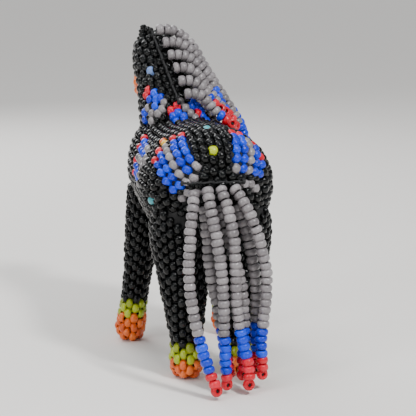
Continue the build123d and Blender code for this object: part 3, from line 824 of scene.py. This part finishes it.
def core_piece(name, stations, node):
    """The stuffed core seen between the beads, coloured darker than the thread as painted shade in the gaps:
    a closed sleeve through the form's sections.
    """
    form = Form(stations, CORE_DEPTH)
    every, around = 12, 40      # one ring for every so many sections, with so many points
    rows = list(range(0, len(form.along), every)) + [len(form.along) - 1]
    verts, faces = [], []
    for r in rows:
        for k in range(around):
            angle = 2 * math.pi * k / around
            verts.append(form.point(np.array([r]), np.array([angle]))[0])
    for i in range(len(rows) - 1):
        for k in range(around):
            n = (k + 1) % around
            faces.append((i * around + k, i * around + n, (i + 1) * around + n, (i + 1) * around + k))
    first, last = len(verts), len(verts) + 1
    verts += [form.centre[0], form.centre[-1]]
    top = (len(rows) - 1) * around
    for k in range(around):
        n = (k + 1) % around
        faces.append((first, n, k))
        faces.append((last, top + k, top + n))
    obj = mesh_object(name, place(verts), faces, [CORE_PAINTED_SHADE])
    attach(obj, "horse")
    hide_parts(node)


# the closed ends of body, neck and head are left out, so that the core stays inside the beads there
core_piece("body_core", BODY[1:-1], "body_stuffing")
core_piece("neck_core", NECK[:-1], "neck_stuffing")
core_piece("head_core", HEAD[1:-1], "head_stuffing")
for name, stations in legs.items():
    core_piece(f"{name}_core", stations, f"{name}_leg_stuffing")

# ------------------------------------------------------------------ ears, eyes and threads
HEAD_MIDDLE_X = 3.4
EAR_OUT, EAR_BASE, EAR_LEAN = 2.0, (-19.8, 60.3), 14
# how far up and across an ear each bead sits, and its size
EAR_BEADS = [(0.1, -0.75, 0.8), (0.1, 0.75, 0.8), (0.9, -0.4, 0.78), (0.9, 0.45, 0.78), (1.55, 0.0, 0.62)]
for side_name, side in SIDES:
    lean = math.radians(EAR_LEAN)
    up = np.array([side * math.sin(lean), 0.0, math.cos(lean)])
    across = np.array([math.cos(lean), 0.0, -side * math.sin(lean)])
    foot = np.array([HEAD_MIDDLE_X + side * EAR_OUT, *EAR_BASE])
    ear = [Bead(foot + up * height + across * aside, up, np.array([0.0, 1.0, 0.0]), scale=size)
           for height, aside, size in EAR_BEADS]
    bead_piece(f"{side_name}_ear_beads", ear, "black", (f"{side_name}_ear",))

for (side_name, _), eye in zip(SIDES, eye_beads):
    bead_piece(f"{side_name}_eye", [eye], "turquoise", (f"{side_name}_eye_bead",))


def coil(at, toward, lift, side, turns, count, advance, radius):
    """Points of a coil that starts round a place and moves on by its advance each turn."""
    turned = np.linspace(0, turns * 2 * math.pi, count)
    return at + toward * (advance * turned / (2 * math.pi))[:, None] \
        + radius * (np.cos(turned)[:, None] * lift + np.sin(turned)[:, None] * side)


CORD_R = 0.2            # the laid thread
CORD_WAVE = 0.07        # how far it rises and falls between its stitches


def stitched_thread(name, start, end, body, node, stitches):
    """Waxed thread over the skin, with a knot at each end and a small stitch for each strand it holds."""
    start, end = np.asarray(start, float), np.asarray(end, float)
    way = (end - start) / np.linalg.norm(end - start)
    lift = np.cross(way, np.cross((0.0, 0.2, 1.0), way))
    lift /= np.linalg.norm(lift)
    side = np.cross(way, lift)
    share = np.linspace(0, 1, 97)
    wave = CORD_WAVE * np.sin(share * math.pi * 2 * stitches)[:, None] * lift
    parts = [tube(start + (end - start) * share[:, None] + wave, CORD_R, 10)]
    for at, toward in ((start, way), (end, -way)):
        # a knot is three close turns
        parts.append(tube(coil(at, toward, lift, side, 3, 61, 0.12, 0.3), 0.15, 8))
    for k in range(stitches):
        at = start + (end - start) * (k + 0.5) / stitches
        parts.append(tube(coil(at, way, lift, side, 1.6, 33, 0.14, 0.27), 0.1, 6))
    verts, faces, count = [], [], 0
    for v, f in parts:
        verts.append(v)
        faces += [tuple(i + count for i in face) for face in f]
        count += len(v)
    obj = mesh_object(name, place(np.vstack(verts)), faces, [THREAD])
    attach(obj, body)
    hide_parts(node)


stitched_thread("tail_outer_cord", (7.4, 21.5, 36.5), (-3.9, 21.5, 36.5), "tail", "tail_outer_thread", 5)
stitched_thread("tail_inner_cord", (5.4, 21.4, 33.5), (-4.3, 21.4, 33.5), "tail", "tail_inner_thread", 4)
stitched_thread("mane_cord", (4.9, -16.9, 61.4), (2.0, -4.2, 47.9), "horse", "mane_thread", 6)

# ------------------------------------------------------------------ light and floor
LIT = Vector((0, 0.01, 0.03))   # what the lights point at


def area_light(name, at, size, power):
    """Square light at a place, turned towards the figure."""
    data = bpy.data.lights.new(name, "AREA")
    data.shape = "SQUARE"
    data.size = size
    data.energy = power
    light = link(bpy.data.objects.new(name, data))
    light.location = at
    light.rotation_euler = (Vector(at) - LIT).to_track_quat("Z", "Y").to_euler()


area_light("key", (-0.12, 0.3, 0.34), 0.05, 1.9)
area_light("fill", (0.32, 0.22, 0.16), 0.1, 0.55)
area_light("front", (0.1, -0.34, 0.26), 0.24, 1.1)
overhead = bpy.data.lights.new("overhead", "SUN")
overhead.energy = 1.7
overhead.angle = math.radians(50)
link(bpy.data.objects.new("overhead", overhead)).rotation_euler = (math.radians(-8), math.radians(10), 0)
world = bpy.data.worlds.new("studio")
world.use_nodes = True
world_nodes, world_wire = world.node_tree.nodes, world.node_tree.links.new
soft = world_nodes["Background"]
soft.inputs["Color"].default_value = (0.9, 0.92, 0.95, 1)
soft.inputs["Strength"].default_value = 0.34
backdrop = world_nodes.new("ShaderNodeBackground")
backdrop.inputs["Color"].default_value = (0.93, 0.92, 0.9, 1)
backdrop.inputs["Strength"].default_value = 0.72
path = world_nodes.new("ShaderNodeLightPath")
either = world_nodes.new("ShaderNodeMixShader")
world_wire(path.outputs["Is Camera Ray"], either.inputs[0])
world_wire(soft.outputs[0], either.inputs[1])
world_wire(backdrop.outputs[0], either.inputs[2])
world_wire(either.outputs[0], world_nodes["World Output"].inputs["Surface"])
bpy.context.scene.world = world

floor_mesh = bpy.data.meshes.new("floor")
FLOOR_HALF, FLOOR_Z = 30.0, -0.0001
CORNERS = ((-1, -1), (1, -1), (1, 1), (-1, 1))
floor_mesh.from_pydata([(x * FLOOR_HALF, y * FLOOR_HALF, FLOOR_Z) for x, y in CORNERS], [], [(0, 1, 2, 3)])
floor = link(bpy.data.objects.new("floor", floor_mesh))
paper = bpy.data.materials.new("pale paper")
paper.use_nodes = True
paper_shader = paper.node_tree.nodes["Principled BSDF"]
paper_shader.inputs["Base Color"].default_value = (0.78, 0.76, 0.73, 1)
paper_shader.inputs["Roughness"].default_value = 0.8
floor_mesh.materials.append(paper)
